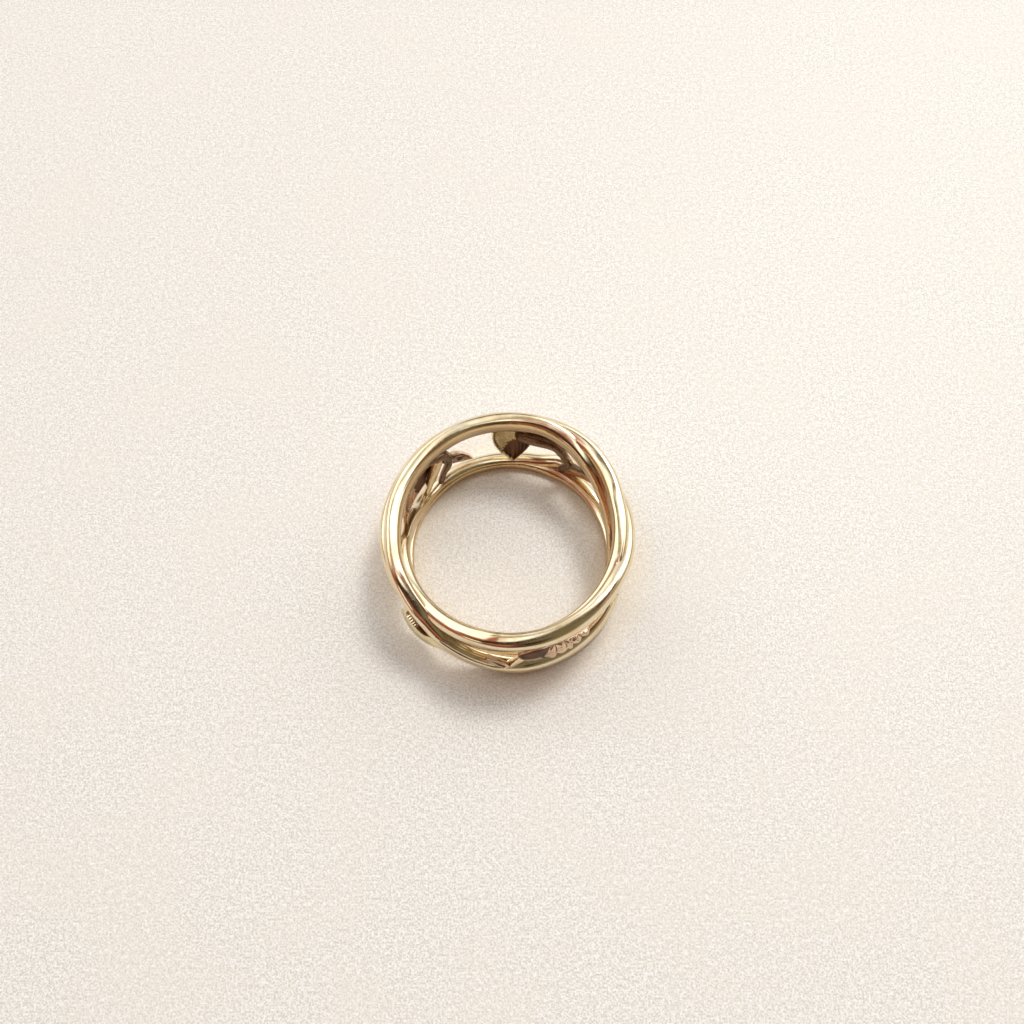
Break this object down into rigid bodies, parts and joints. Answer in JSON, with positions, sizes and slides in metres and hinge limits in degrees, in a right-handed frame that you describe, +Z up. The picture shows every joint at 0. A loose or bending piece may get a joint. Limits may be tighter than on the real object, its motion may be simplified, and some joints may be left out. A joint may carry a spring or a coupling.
{
  "type": "gold ring",
  "caption": "Openwork finger ring: round wires weave between a top and a bottom rail, with small domed leaves of rose and green gold soldered in the gaps.",
  "frame": {"origin": "on the axis of the finger hole, in the plane of the foot that the ring lies on", "axes": "+Z up along the finger's axis; +Y away from the camera, to the far side in the picture; +X to the right in the picture"},
  "size_m": [0.0217, 0.0221, 0.008],
  "materials": {
    "yellow_gold": "polished 14 carat yellow gold",
    "rose_gold": "brushed 14 carat rose gold with polished rims",
    "green_gold": "brushed 14 carat green gold with polished rims"
  },
  "bodies": {
    "root": {"band": "yellow_gold", "leaf_far": "green_gold", "leaf_left": "rose_gold", "leaf_left_long": "rose_gold", "leaf_near_left": "green_gold", "leaf_near_curled": "rose_gold", "leaf_near_rose": "rose_gold", "leaf_near_tip": "green_gold"}
  },
  "joints": []
}
